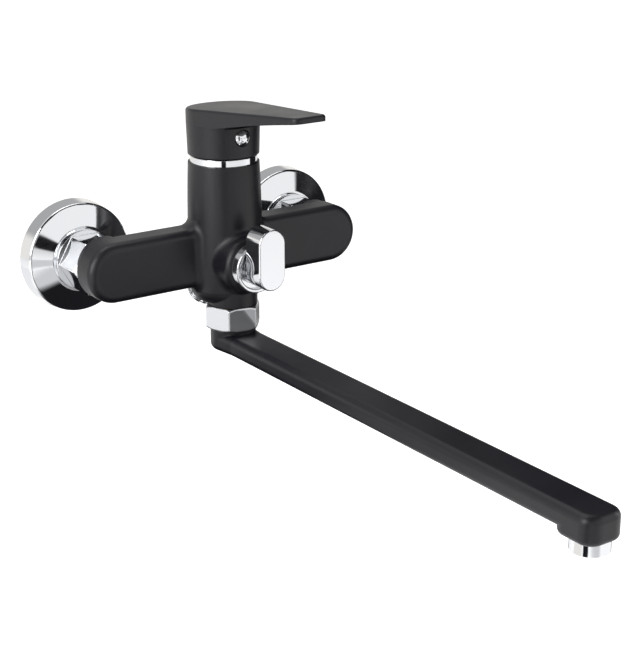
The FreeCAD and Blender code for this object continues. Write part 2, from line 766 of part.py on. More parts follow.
def cartridge():
    """The mixing cartridge, from the seals on the chamber floor up to the retaining nut."""
    seals = [o_ring(f"base_seal_{i}", "seal_radius", "seal_section",
                    (x, f"{y} - axis_from_wall", "union_offset + chamber_floor + seal_section"))
             for i, (x, y) in enumerate(PORTS)]
    group("cartridge_base_seals", seals)

    base = new_body("cartridge_base", AXIS)
    turned(base, "cup", [
        ("0", "chamber_floor"),
        ("cartridge_radius", "chamber_floor"),
        ("cartridge_radius", BASE_TOP),
        ("fixed_disc_radius + disc_fit", BASE_TOP),
        ("fixed_disc_radius + disc_fit", DISC_LOW),
        ("0", DISC_LOW),
    ])
    for i, (x, y) in enumerate(PORTS):
        at = (x, y, "chamber_floor")
        rod(base, f"seal_seat_{i}", "seal_radius + seal_section", "2 * seal_section", at, cut=True)
        rod(base, f"port_{i}", "port_radius", "base_height", at, cut=True)

    disc = new_body("fixed_ceramic_disc", AXIS)
    rod(disc, "disc", "fixed_disc_radius", "fixed_disc_height", ("0", "0", DISC_LOW))
    for i, (x, y) in enumerate(PORTS):
        rod(disc, f"port_{i}", "port_radius", "fixed_disc_height", (x, y, DISC_LOW), cut=True)

    slider = new_body("moving_ceramic_disc", AXIS)
    rod(slider, "disc", "moving_disc_radius", "moving_disc_height", ("0", "0", DISC_TOP))
    rod(slider, "mixing_recess", "mixing_recess_radius", "mixing_recess_depth",
        ("0", "mixing_recess_back", DISC_TOP), cut=True)

    carrier = new_body("disc_carrier", AXIS)
    rod(carrier, "block", "carrier_radius", "carrier_height", ("0", "0", CARRIER_LOW))
    pocket_half = "(tongue_radius + tongue_fit)"
    pocket_side = "(stem_half + tongue_fit)"
    pocket_low = f"({TONGUE_HEIGHT} - tongue_pocket)"
    pocket = (f"2 * {pocket_side}", f"2 * {pocket_half}", f"{CARRIER_TOP} - {pocket_low}")
    block(carrier, "tongue_pocket", pocket, (f"-{pocket_side}", f"-{pocket_half}", pocket_low), cut=True)

    housing = new_body("cartridge_housing", AXIS)
    turned(housing, "case", [
        ("cartridge_radius - cartridge_wall", BASE_TOP),
        ("cartridge_radius", BASE_TOP),
        ("cartridge_radius", ROOF_TOP),
        ("yoke_radius + yoke_fit", ROOF_TOP),
        ("yoke_radius + yoke_fit", ROOF_LOW),
        ("cartridge_radius - cartridge_wall", ROOF_LOW),
    ])

    yoke = new_body("spindle_yoke", AXIS)
    turned(yoke, "sleeve", [
        ("0", YOKE_LOW),
        ("yoke_flange_radius", YOKE_LOW),
        ("yoke_flange_radius", YOKE_NECK),
        ("yoke_radius", YOKE_NECK),
        ("yoke_radius", "yoke_top"),
        ("0", "yoke_top"),
    ])
    slot = "(stem_half + stem_fit)"
    block(yoke, "stem_slot", (f"2 * {slot}", "4 * yoke_radius", f"yoke_top - {YOKE_NECK}"),
          (f"-{slot}", "-2 * yoke_radius", YOKE_NECK), cut=True)
    block(yoke, "tongue_window", (f"2 * {slot}", "2 * yoke_window", "2 * yoke_flange_height"),
          (f"-{slot}", "-yoke_window", f"{YOKE_NECK} - 2 * yoke_flange_height"), cut=True)
    rod(yoke, "pin_hole", "pin_radius + pin_fit", "2 * yoke_radius", ("-yoke_radius", "0", "pin_height"),
        "right", cut=True)

    pin = new_body("lever_pin", AXIS)
    rod(pin, "pin", "pin_radius", "2 * yoke_radius - 1", ("0.5 - yoke_radius", "0", "pin_height"), "right")

    stem = new_body("cartridge_spindle", AXIS)
    shoulder = "(pin_height - stem_shoulder)"
    block(stem, "stem", ("2 * stem_half", "2 * stem_half", f"stem_top - {shoulder}"),
          ("-stem_half", "-stem_half", shoulder))
    block(stem, "tongue", ("2 * stem_half", "2 * tongue_half", f"{shoulder} - {TONGUE_HEIGHT}"),
          ("-stem_half", "-tongue_half", TONGUE_HEIGHT))
    rod(stem, "tongue_end", "tongue_radius", "2 * stem_half", ("-stem_half", "0", TONGUE_HEIGHT), "right")
    rod(stem, "pin_hole", "pin_radius + pin_fit", "2 * stem_half", ("-stem_half", "0", "pin_height"),
        "right", cut=True)

    nut = new_body("cartridge_nut", AXIS)
    turned(nut, "nut", [
        ("cartridge_nut_bore", ROOF_TOP),
        ("cartridge_nut_radius", ROOF_TOP),
        ("cartridge_nut_radius", CARTRIDGE_NUT_TOP),
        ("cartridge_nut_bore", CARTRIDGE_NUT_TOP),
    ])
    for i, (x, y) in enumerate(hexagon()):
        rod(nut, f"key_hole_{i}", "port_radius / 2", "cartridge_nut_height / 2",
            (f"{x:.6f} * (cartridge_nut_bore + cartridge_nut_radius) / 2",
             f"{y:.6f} * (cartridge_nut_bore + cartridge_nut_radius) / 2",
             f"{CARTRIDGE_NUT_TOP} - cartridge_nut_height / 2"), cut=True)

    trim = new_body("trim_ring", AXIS)
    turned(trim, "ring", [
        ("trim_bore", "column_top - trim_skirt"),
        ("cartridge_nut_radius", "column_top - trim_skirt"),
        ("cartridge_nut_radius", "column_top"),
        ("trim_radius", "column_top"),
        ("trim_radius", f"{TRIM_TOP} - trim_chamfer"),
        ("trim_radius - trim_chamfer", TRIM_TOP),
        ("trim_bore", TRIM_TOP),
    ])


def lever_handle():
    """Lever: hollow round foot, and a blade that rises and narrows towards its tip."""
    body = new_body("lever_handle", AXIS)
    turned(body, "foot", [
        ("0", HANDLE_FOOT),
        ("handle_foot_radius", HANDLE_FOOT),
        ("handle_radius", BLADE_UNDER),
        ("0", BLADE_UNDER),
    ])
    side = f"{math.cos(BLADE_TANGENT):.6f} * handle_radius"
    leave = f"-{math.sin(BLADE_TANGENT):.6f} * handle_radius"
    tip_flat = "(blade_tip_half - blade_tip_round)"
    tip_start = "(blade_tip_round - handle_reach)"
    highest = "(handle_top + blade_slope * handle_reach)"
    run(body, "blade", "XY_Plane", [
        (side, leave, "handle_radius", 1),
        ("0", "handle_radius", "handle_radius", 1),
        (f"-{side}", leave),
        ("-blade_tip_half", tip_start, "blade_tip_round", 1),
        (f"-{tip_flat}", "-handle_reach"),
        (tip_flat, "-handle_reach", "blade_tip_round", 1),
        ("blade_tip_half", tip_start),
    ], BLADE_UNDER, f"{highest} + 5 - {BLADE_UNDER}")
    beyond = "(handle_reach + handle_radius)"
    across = "(2 * handle_radius)"
    run(body, "top_face", "YZ_Plane", [
        (f"-{beyond}", f"handle_top + blade_slope * {beyond}"),
        ("2 * handle_radius", "handle_top - blade_slope * 2 * handle_radius"),
        ("2 * handle_radius", f"{highest} + handle_radius"),
        (f"-{beyond}", f"{highest} + handle_radius"),
    ], f"-{across}", f"2 * {across}", cut=True)
    run(body, "under_face", "YZ_Plane", [
        ("-blade_leave", BLADE_UNDER, "blade_curve", 1),
        ("-handle_reach - 1", f"{highest} - blade_tip_depth"),
        ("-handle_reach - 1", f"{BLADE_UNDER} - 1"),
        ("-blade_leave", f"{BLADE_UNDER} - 1"),
    ], f"-{across}", f"2 * {across}", cut=True)
    slope = number("blade_slope")
    top = number("handle_top")
    soften(body, "top_edges", "handle_round", lambda ps: all(abs(p.z + slope * p.y - top) < 1e-3 for p in ps))
    turned(body, "cavity", [
        ("0", HANDLE_FOOT),
        ("handle_cavity_radius", HANDLE_FOOT),
        ("handle_cavity_radius", "handle_cavity_top"),
        ("handle_boss_radius", "handle_cavity_top"),
        ("handle_boss_radius", "handle_boss_bottom"),
        ("0", "handle_boss_bottom"),
    ], cut=True)
    block(body, "screw_rib", ("2 * handle_rib_half", "handle_cavity_radius - stem_half",
                              "handle_cavity_top - handle_rib_bottom"),
          ("-handle_rib_half", "-handle_cavity_radius", "handle_rib_bottom"))
    socket = "(stem_half + thread_fit)"
    block(body, "stem_socket", (f"2 * {socket}", f"2 * {socket}", "stem_top + stem_fit - handle_boss_bottom"),
          (f"-{socket}", f"-{socket}", "handle_boss_bottom"), cut=True)
    rod(body, "screw_hole", "grub_radius + thread_fit", "handle_radius", ("0", "-stem_half", "plug_height"),
        "front", cut=True)
    rod(body, "plug_seat", "plug_radius + plug_fit", "handle_radius", ("0", "-plug_seat", "plug_height"),
        "front", cut=True)

    at_plug = ("0", "-axis_from_wall", "union_offset + plug_height")
    screw = new_body("handle_grub_screw", at_plug, "front")
    rod(screw, "screw", "grub_radius", "grub_length", ("0", "0", "stem_half"))
    hexagon_socket(screw, "grub_radius", "stem_half + grub_length - key_depth")

    plug = new_body("handle_plug", at_plug, "front")
    rise = "(plug_dome - plug_edge)"
    turned(plug, "plug", [
        ("0", "plug_seat"),
        ("plug_radius", "plug_seat"),
        ("plug_radius", "plug_edge", f"(plug_radius ^ 2 + {rise} ^ 2) / (2 * {rise})", 1),
        ("0", "plug_dome"),
    ])


def hexagon_socket(body, radius, start):
    """A hexagon key socket in the end of a grub screw."""
    key = [(f"{x:.6f} * key_share * {radius}", f"{y:.6f} * key_share * {radius}") for x, y in hexagon()]
    run(body, "socket", "XY_Plane", key, start, "key_depth", cut=True)


def diverter():
    """Bath and shower diverter: housing and discs in the boss, bonnet on its face, spindle and knob."""
    fixed = new_body("diverter_fixed_disc", AXIS, "front")
    rod(fixed, "disc", "diverter_disc_radius", "diverter_disc_height", ("0", "0", DIVERTER_REAR))
    for name, rise in (("mixed_port", "mixed_rise"), ("shower_port", "-shower_fall")):
        rod(fixed, name, "port_radius", "diverter_disc_height", ("0", rise, DIVERTER_REAR), cut=True)

    moving = new_body("diverter_moving_disc", AXIS, "front")
    rod(moving, "disc", "diverter_disc_radius - disc_fit", "diverter_disc_height",
        ("0", "0", MOVING_DISC_REAR))
    rod(moving, "port", "port_radius", "diverter_disc_height",
        ("0", "mixed_rise", MOVING_DISC_REAR), cut=True)

    housing = new_body("diverter_housing", AXIS, "front")
    outer = "(diverter_bore_radius - diverter_fit)"
    hole = "(diverter_spindle_radius + diverter_spindle_fit)"
    cavity_front = f"({DRIVE_FRONT} + diverter_fit)"
    turned(housing, "case", [
        ("diverter_cavity_radius", DIVERTER_REAR),
        (outer, DIVERTER_REAR),
        (outer, "diverter_boss_front"),
        ("diverter_flange_radius", "diverter_boss_front"),
        ("diverter_flange_radius", FLANGE_TOP),
        (hole, FLANGE_TOP),
        (hole, cavity_front),
        ("diverter_cavity_radius", cavity_front),
    ])
    ring_groove(housing, "seal_groove", outer, "diverter_ring_place", "diverter_ring_section")
    single_ring("diverter_housing_ring", f"diverter_bore_radius - diverter_ring_section - {RING_EASE}",
                "diverter_ring_section",
                ("0", "-axis_from_wall - diverter_ring_place", "union_offset"), "front")

    spindle = new_body("diverter_spindle", AXIS, "front")
    turned(spindle, "spindle", [
        ("0", DRIVE_REAR),
        ("diverter_drive_radius", DRIVE_REAR),
        ("diverter_drive_radius", DRIVE_FRONT),
        ("diverter_spindle_radius", DRIVE_FRONT),
        ("diverter_spindle_radius", KNOB_BORE_END),
        ("0", KNOB_BORE_END),
    ])
    ring_groove(spindle, "seal_groove", "diverter_spindle_radius", "diverter_seal_place",
                "diverter_ring_section")
    single_ring("diverter_spindle_ring", f"{hole} - diverter_ring_section - {RING_EASE}",
                "diverter_ring_section",
                ("0", "-axis_from_wall - diverter_seal_place", "union_offset"), "front")

    bonnet = new_body("diverter_bonnet", AXIS, "front")
    turned(bonnet, "cap", [
        ("diverter_flange_radius + thread_fit", "diverter_boss_front"),
        ("bonnet_radius", "diverter_boss_front"),
        ("bonnet_radius", BONNET_FRONT),
        ("bonnet_recess_radius", BONNET_FRONT),
        ("bonnet_recess_radius", WEB_FRONT),
        ("diverter_spindle_radius + bonnet_hole_fit", WEB_FRONT),
        ("diverter_spindle_radius + bonnet_hole_fit", FLANGE_TOP),
        ("diverter_flange_radius + thread_fit", FLANGE_TOP),
    ])
    soften(bonnet, "rim", "bonnet_round", flat_at(number(BONNET_FRONT)))

    knob = new_body("diverter_knob", AXIS, "front")
    low = "(-knob_low)"
    run(knob, "paddle", "XY_Plane", [
        ("knob_half", low),
        ("knob_half", "knob_high", "knob_half", 1),
        ("0", "knob_high + knob_half", "knob_half", 1),
        ("-knob_half", "knob_high"),
        ("-knob_half", low, "knob_half", 1),
        ("0", f"{low} - knob_half", "knob_half", 1),
    ], KNOB_REAR, "knob_depth")
    soften(knob, "edges", "knob_round", flat_at(number(KNOB_FRONT)))
    hub_rear = f"({WEB_FRONT} + knob_gap)"
    rod(knob, "hub", "knob_hub_radius", f"{KNOB_REAR} - {hub_rear}", ("0", "0", hub_rear))
    rod(knob, "bore", "diverter_spindle_radius + thread_fit", f"{KNOB_BORE_END} - {hub_rear}",
        ("0", "0", hub_rear), cut=True)
    middle = f"({KNOB_REAR} + knob_bore_depth / 2)"
    rod(knob, "screw_hole", "knob_screw_radius + thread_fit", "2 * knob_half",
        ("0", "-diverter_spindle_radius", middle), "front", cut=True)

    screw = new_body("knob_grub_screw", ("0", f"-axis_from_wall - {middle}", "union_offset"))
    screw_end = "-diverter_spindle_radius - knob_screw_length"
    rod(screw, "screw", "knob_screw_radius", "knob_screw_length",
        ("0", "0", screw_end))
    hexagon_socket(screw, "knob_screw_radius", screw_end)


RING_EASE = "spout_ring_fit"


def ring_groove(body, name, outer, place_at, section):
    """A groove for an O-ring, square in section, round a turned piece."""
    depth = f"(2 * {section} + {RING_EASE})"
    half = f"(ring_groove * {section} / 2 + {RING_EASE})"
    turned(body, name, [
        (f"{outer} - {depth}", f"{place_at} - {half}"),
        (f"{outer} + {section}", f"{place_at} - {half}"),
        (f"{outer} + {section}", f"{place_at} + {half}"),
        (f"{outer} - {depth}", f"{place_at} + {half}"),
    ], cut=True)


def spout_joint():
    """What holds the spout under the body: threaded outlet, swivel nut and split ring."""
    nipple = new_body("outlet_nipple", SPOUT_AXIS)
    turned(nipple, "nipple", [
        (SPOUT_BORE, NIPPLE_LOW),
        ("tap_thread_radius", NIPPLE_LOW),
        ("tap_thread_radius", OUTLET_LOW),
        ("outlet_root_radius", OUTLET_LOW),
        ("outlet_root_radius", f"{OUTLET_LOW} + outlet_root_length"),
        (SPOUT_BORE, f"{OUTLET_LOW} + outlet_root_length"),
    ])

    nut = new_body("spout_nut", SPOUT_AXIS)
    corner = SPOUT_NUT_CORNER
    hole = "(spout_tail_radius + spout_nut_hole_fit)"
    turned(nut, "blank", [
        ("tap_thread_radius + thread_fit", SPOUT_NUT_TOP),
        (f"{corner} - 1.7 * nut_chamfer", SPOUT_NUT_TOP),
        (corner, f"{SPOUT_NUT_TOP} - nut_chamfer"),
        (corner, f"{SPOUT_NUT_LOW} + nut_chamfer"),
        (f"{corner} - 1.7 * nut_chamfer", SPOUT_NUT_LOW),
        (hole, SPOUT_NUT_LOW),
        (hole, SPOUT_LIP_TOP),
        ("tap_thread_radius + thread_fit", SPOUT_LIP_TOP),
    ])
    hexagon_cut(nut, "flats", "spout_nut_flats", SPOUT_NUT_LOW, "spout_nut_height", SPOUT_NUT_TURN)

    ring = new_body("spout_split_ring", SPOUT_AXIS)
    turned(ring, "ring", [
        ("split_groove_radius + thread_fit", SPLIT_LOW),
        ("split_ring_radius", SPLIT_LOW),
        ("split_ring_radius", SPLIT_TOP),
        ("split_groove_radius + thread_fit", SPLIT_TOP),
    ])
    block(ring, "slot", ("split_ring_slot", "2 * split_ring_radius", "split_ring_thickness"),
          ("-split_ring_slot / 2", "0", SPLIT_LOW), cut=True)


def spout():
    """Swivel spout: sealed tail, round root, flat bar and a deeper head that holds the aerator."""
    body = new_body("spout", SPOUT_AXIS)
    nose = "(spout_reach + spout_nose)"
    run(body, "bar", "XY_Plane", [
        ("spout_root_radius", "0", "spout_root_radius", 1),
        ("0", "spout_root_radius", "spout_root_radius", 1),
        ("-spout_root_radius", "0"),
        ("-bar_half", "-bar_flare"),
        ("-bar_half", f"nose_round - {nose}", "nose_round", 1),
        ("nose_round - bar_half", f"-{nose}"),
        ("bar_half - nose_round", f"-{nose}", "nose_round", 1),
        ("bar_half", f"nose_round - {nose}"),
        ("bar_half", "-bar_flare"),
    ], BAR_LOW, "bar_height")
    soften(body, "top_edges", "bar_top_round", flat_at(number(BAR_TOP)))
    soften(body, "low_edges", "bar_low_round", flat_at(number(BAR_LOW)))
    heel = "(spout_reach - head_heel)"
    run(body, "head", "XY_Plane", [
        ("bar_half", f"-{heel} - heel_round", "heel_round", 1),
        ("bar_half - heel_round", f"-{heel}"),
        ("heel_round - bar_half", f"-{heel}", "heel_round", 1),
        ("-bar_half", f"-{heel} - heel_round"),
        ("-bar_half", f"nose_round - {nose}", "nose_round", 1),
        ("nose_round - bar_half", f"-{nose}"),
        ("bar_half - nose_round", f"-{nose}", "nose_round", 1),
        ("bar_half", f"nose_round - {nose}"),
    ], HEAD_LOW, f"{BAR_LOW} + bar_height / 2 - {HEAD_LOW}")
    soften(body, "head_edges", "head_low_round", flat_at(number(HEAD_LOW)))
    rod(body, "root", "spout_root_radius", "spout_step + bar_height / 2",
        ("0", "0", f"{ROOT_TOP} - spout_step - bar_height / 2"))
    turned(body, "tail", [
        ("0", BAR_TOP),
        ("spout_tail_radius", BAR_TOP),
        ("spout_tail_radius", SPLIT_LOW),
        ("split_groove_radius", SPLIT_LOW),
        ("split_groove_radius", SPLIT_TOP),
        ("spout_tail_radius", SPLIT_TOP),
        ("spout_tail_radius", "-spout_tail_top"),
        ("0", "-spout_tail_top"),
    ])
    rings = []
    for i in range(2):
        level = f"(-spout_tail_top - spout_ring_first - {i} * spout_ring_pitch)"
        ring_groove(body, f"ring_groove_{i}", "spout_tail_radius", level, "spout_ring_section")
        rings.append(o_ring(f"spout_o_ring_{i}", f"{SPOUT_BORE} - spout_ring_section - {RING_EASE}",
                            "spout_ring_section", SPOUT_AXIS[:2] + (f"union_offset + {level}",)))
    group("spout_o_rings", rings)
    channel = f"({BAR_LOW} + bar_height / 2)"
    rod(body, "tail_bore", "spout_tail_bore", f"-spout_tail_top - {channel}", ("0", "0", channel), cut=True)
    rod(body, "channel", "channel_radius", "spout_reach", ("0", "0", channel), "front", cut=True)
    rod(body, "aerator_seat", "aerator_radius + aerator_fit", f"{WASHER_TOP} - {HEAD_LOW}",
        ("0", "-spout_reach", HEAD_LOW), cut=True)
    rod(body, "aerator_way", "washer_bore", f"{channel} - {WASHER_TOP}",
        ("0", "-spout_reach", WASHER_TOP), cut=True)


def round_the_axis(body, feature, times):
    """Repeats a feature evenly round the body's own Z."""
    pattern = body.newObject("PartDesign::PolarPattern", feature.Name + "_ring")
    pattern.Originals = [feature]
    pattern.Axis = (body.Origin.OriginFeatures[2], [""])
    pattern.Angle = 360
    pattern.Occurrences = times
    body.Tip = pattern
    doc.recompute()


def aerator():
    """Aerator: chrome ring screwed into the head, its flow insert and a washer."""
    at = ("0", "-axis_from_wall - spout_forward - spout_reach", "union_offset")
    inner = "(aerator_radius - aerator_wall)"
    ring = new_body("aerator_housing", at)
    turned(ring, "ring", [
        (f"{inner} - aerator_lip", AERATOR_LOW),
        ("aerator_radius", AERATOR_LOW),
        ("aerator_radius", AERATOR_TOP),
        (inner, AERATOR_TOP),
        (inner, f"{AERATOR_LOW} + insert_recess"),
        (f"{inner} - aerator_lip", f"{AERATOR_LOW} + insert_recess"),
    ])
    insert = new_body("aerator_insert", at)
    low = f"{AERATOR_LOW} + insert_recess"
    height = f"{AERATOR_TOP} - {AERATOR_LOW} - insert_recess"
    rod(insert, "insert", f"{inner} - aerator_fit", height, ("0", "0", low))
    rod(insert, "middle_hole", "insert_hole", height, ("0", "0", low), cut=True)
    for name, across, along in (("inner", 1, 0), ("outer", 2, 0), ("between", 1.5, math.sqrt(0.75))):
        at_hole = (f"{across} * insert_pitch", f"{along:.6f} * insert_pitch", low)
        round_the_axis(insert, rod(insert, f"{name}_hole", "insert_hole", height, at_hole, cut=True), 6)
    washer = new_body("aerator_washer", at)
    turned(washer, "washer", [
        ("washer_bore", AERATOR_TOP),
        ("aerator_radius", AERATOR_TOP),
        ("aerator_radius", WASHER_TOP),
        ("washer_bore", WASHER_TOP),
    ])


def shower_connection():
    """Threaded connection for a shower hose, screwed into the boss behind the column."""
    nipple = new_body("shower_nipple", SHOWER_AXIS, "back_down")
    collar = "(shower_boss_length + shower_collar_height)"
    turned(nipple, "nipple", [
        ("shower_bore", "shower_boss_length - shower_root_length"),
        ("shower_root_radius", "shower_boss_length - shower_root_length"),
        ("shower_root_radius", "shower_boss_length"),
        ("shower_collar_radius", "shower_boss_length"),
        ("shower_collar_radius", collar),
        ("shower_thread_radius", collar),
        ("shower_thread_radius", f"{collar} + shower_thread_length"),
        ("shower_bore", f"{collar} + shower_thread_length"),
    ])
    ring_groove(nipple, "seal_groove", "shower_root_radius", "shower_ring_place", "shower_ring_section")
    along = f"{SLANT:.6f} * shower_ring_place"
    single_ring("shower_nipple_ring",
                f"shower_root_radius + thread_fit - shower_ring_section - {RING_EASE}", "shower_ring_section",
                ("0", f"{SHOWER_AXIS[1]} + {along}", f"{SHOWER_AXIS[2]} - {along}"), "back_down")


for side, sign in (("left", "-"), ("right", "")):
    inlet = (f"{sign}inlet_spacing / 2", "0", "union_offset")
    wall_union(f"eccentric_union_{side}", inlet)
    escutcheon(f"escutcheon_{side}", inlet)
    union_nut(f"union_nut_{side}", inlet)
    union_gasket(f"union_gasket_{side}", inlet)
    inlet_tail(f"inlet_tail_{side}", inlet)
mixer_body()
cartridge()
lever_handle()
diverter()
spout_joint()
spout()
aerator()
shower_connection()
doc.recompute()

failed = [o.Name for o in doc.Objects if "Invalid" in o.State or "Error" in o.State]
if failed:
    raise RuntimeError("not built: " + ", ".join(failed))
for piece in pieces:
    if piece.Shape.isNull() or not piece.Shape.isValid() or not piece.Shape.Solids:
        raise RuntimeError("bad shape: " + piece.Label)

os.makedirs("parts", exist_ok=True)
for piece in pieces:
    piece.Shape.exportStep(f"parts/{piece.Label}.step")
print(len(pieces), "pieces")
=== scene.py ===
import json
import math

import bmesh
import bpy
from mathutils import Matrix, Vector


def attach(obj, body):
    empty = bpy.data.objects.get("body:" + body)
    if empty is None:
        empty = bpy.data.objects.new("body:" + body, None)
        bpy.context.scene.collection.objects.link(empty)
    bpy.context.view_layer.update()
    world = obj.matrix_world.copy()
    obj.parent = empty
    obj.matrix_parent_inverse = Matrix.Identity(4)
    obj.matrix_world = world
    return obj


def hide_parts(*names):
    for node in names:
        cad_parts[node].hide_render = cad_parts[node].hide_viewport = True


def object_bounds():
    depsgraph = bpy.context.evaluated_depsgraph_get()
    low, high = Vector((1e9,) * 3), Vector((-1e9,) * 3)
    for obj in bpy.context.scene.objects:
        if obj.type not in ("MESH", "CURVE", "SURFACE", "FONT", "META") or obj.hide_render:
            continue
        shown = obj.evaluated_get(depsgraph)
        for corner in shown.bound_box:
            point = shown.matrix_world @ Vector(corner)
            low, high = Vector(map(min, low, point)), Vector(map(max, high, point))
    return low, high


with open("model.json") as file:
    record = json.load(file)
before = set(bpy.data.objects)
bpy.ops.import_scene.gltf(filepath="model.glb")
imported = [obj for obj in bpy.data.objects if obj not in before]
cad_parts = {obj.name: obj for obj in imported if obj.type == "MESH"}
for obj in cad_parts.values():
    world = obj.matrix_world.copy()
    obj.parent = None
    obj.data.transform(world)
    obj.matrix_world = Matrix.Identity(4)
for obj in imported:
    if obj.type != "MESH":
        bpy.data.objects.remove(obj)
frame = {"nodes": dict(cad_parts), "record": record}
cad_low, cad_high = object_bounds()
nodes = frame["nodes"]
subparts = frame["record"]["subparts"]
mounts = {mount["name"]: mount for mount in frame["record"]["mounts"]}
scene = bpy.context.scene

# Camera at the photograph's viewing angle
AZIMUTH = math.radians(-35.1)
ELEVATION = math.radians(18.95)
EYE = Vector((-0.41237, -0.84431, 0.27899))
LENS = 86.38
SENSOR = 36.0
NEAR, FAR = 0.01, 50.0


def make_camera():
    back = Vector((math.sin(AZIMUTH) * math.cos(ELEVATION),
                   -math.cos(AZIMUTH) * math.cos(ELEVATION),
                   math.sin(ELEVATION)))
    data = bpy.data.cameras.new("camera")
    data.lens = LENS
    data.sensor_width = SENSOR
    data.clip_start = NEAR
    data.clip_end = FAR
    camera = bpy.data.objects.new("camera", data)
    scene.collection.objects.link(camera)
    camera.location = EYE
    camera.rotation_mode = "QUATERNION"
    camera.rotation_quaternion = (-back).to_track_quat("-Z", "Y")
    scene.camera = camera


# Materials
NOISE_LOW, NOISE_HIGH = 0.3, 0.7  # the part of a noise that colour and roughness follow
BEVEL_SAMPLES = 6


class Surface:
    """A Principled material with its constants on the shader's own sockets and its detail from nodes."""

    def __init__(self, name, colour, **constants):
        self.material = bpy.data.materials.new(name)
        self.material.use_nodes = True
        self.tree = self.material.node_tree
        self.shader = self.tree.nodes["Principled BSDF"]
        self.shader.inputs["Base Color"].default_value = (*colour, 1.0)
        for socket, value in constants.items():
            self.shader.inputs[socket.replace("_", " ")].default_value = value
        self.place = self.add("ShaderNodeTexCoord").outputs["Object"]

    def add(self, kind):
        return self.tree.nodes.new(kind)

    def link(self, start, end):
        self.tree.links.new(start, end)

    def noise(self, scale, detail=3.0, stretch=None):
        node = self.add("ShaderNodeTexNoise")
        node.inputs["Scale"].default_value = scale
        node.inputs["Detail"].default_value = detail
        start = self.place
        if stretch:
            mapping = self.add("ShaderNodeMapping")
            mapping.inputs["Scale"].default_value = stretch
            self.link(self.place, mapping.inputs["Vector"])
            start = mapping.outputs["Vector"]
        self.link(start, node.inputs["Vector"])
        return node.outputs["Fac"]

    def colour(self, fac, low, high):
        node = self.add("ShaderNodeValToRGB")
        first, last = node.color_ramp.elements
        first.position, first.color = NOISE_LOW, (*low, 1.0)
        last.position, last.color = NOISE_HIGH, (*high, 1.0)
        self.link(fac, node.inputs["Fac"])
        self.link(node.outputs["Color"], self.shader.inputs["Base Color"])

    def roughness(self, fac, low, high):
        node = self.add("ShaderNodeMapRange")
        node.inputs["From Min"].default_value = NOISE_LOW
        node.inputs["From Max"].default_value = NOISE_HIGH
        node.inputs["To Min"].default_value = low
        node.inputs["To Max"].default_value = high
        self.link(fac, node.inputs["Value"])
        self.link(node.outputs["Result"], self.shader.inputs["Roughness"])

    def edges(self, radius):
        """Softens sharp corners in the shading, as plating and paint do."""
        node = self.add("ShaderNodeBevel")
        node.samples = BEVEL_SAMPLES
        node.inputs["Radius"].default_value = radius
        self.link(node.outputs["Normal"], self.shader.inputs["Normal"])

    def bump(self, fac, strength, distance):
        """Adds fine relief, on top of softened edges where there are any."""
        node = self.add("ShaderNodeBump")
        node.inputs["Strength"].default_value = strength
        node.inputs["Distance"].default_value = distance
        self.link(fac, node.inputs["Height"])
        previous = [link for link in self.tree.links if link.to_socket == self.shader.inputs["Normal"]]
        if previous:
            self.link(previous[0].from_socket, node.inputs["Normal"])
        self.link(node.outputs["Normal"], self.shader.inputs["Normal"])


def black_coat():
    """Satin black coating: fine orange peel, and gloss that varies a little."""
    s = Surface("black_coat", (0.007, 0.007, 0.0105), Roughness=0.4, Specular_IOR_Level=0.47)
    s.colour(s.noise(60.0, 4.0), (0.0063, 0.0063, 0.0096), (0.0077, 0.0077, 0.0114))
    s.roughness(s.noise(35.0), 0.36, 0.43)
    s.edges(0.0007)
    s.bump(s.noise(1400.0, 2.0), 0.08, 0.0002)
    return s.material


def chrome(name="chrome", corner=0.0005, rough=0.05):
    """Bright chrome plate: a mirror with a trace of polishing waviness."""
    s = Surface(name, (0.83, 0.84, 0.86), Metallic=1.0, Roughness=rough)
    s.roughness(s.noise(90.0, 4.0), 0.7 * rough, 1.4 * rough)
    s.edges(corner)
    s.bump(s.noise(45.0, 2.0), 0.02, 0.0004)
    return s.material


def brass():
    """Machined brass, with tool marks and a duller tint in places."""
    s = Surface("brass", (0.66, 0.46, 0.19), Metallic=1.0, Roughness=0.32)
    s.colour(s.noise(70.0, 5.0), (0.58, 0.39, 0.15), (0.72, 0.52, 0.23))
    s.roughness(s.noise(160.0, 4.0), 0.25, 0.42)
    s.edges(0.0003)
    s.bump(s.noise(900.0, 2.0, stretch=(0.2, 1.0, 0.2)), 0.12, 0.0001)
    return s.material


def rubber():
    s = Surface("rubber", (0.02, 0.02, 0.021), Roughness=0.75)
    s.colour(s.noise(200.0, 4.0), (0.016, 0.016, 0.017), (0.028, 0.028, 0.029))
    s.roughness(s.noise(350.0), 0.68, 0.85)
    s.bump(s.noise(1800.0, 2.0), 0.2, 0.0001)
    return s.material


def white_plastic():
    s = Surface("white_plastic", (0.72, 0.72, 0.69), Roughness=0.45)
    s.colour(s.noise(110.0), (0.69, 0.69, 0.65), (0.75, 0.75, 0.73))
    s.roughness(s.noise(240.0), 0.38, 0.52)
    s.bump(s.noise(1500.0, 2.0), 0.08, 0.0001)
    return s.material


def disc_ceramic():
    s = Surface("disc_ceramic", (0.83, 0.82, 0.78), Roughness=0.2)
    s.colour(s.noise(140.0, 4.0), (0.80, 0.79, 0.75), (0.86, 0.85, 0.82))
    s.roughness(s.noise(180.0), 0.14, 0.28)
    return s.material


def steel():
    s = Surface("steel", (0.48, 0.48, 0.49), Metallic=1.0, Roughness=0.3)
    s.colour(s.noise(260.0, 4.0), (0.42, 0.42, 0.43), (0.54, 0.54, 0.55))
    s.roughness(s.noise(420.0), 0.24, 0.4)
    s.bump(s.noise(1600.0, 2.0), 0.1, 0.0001)
    return s.material


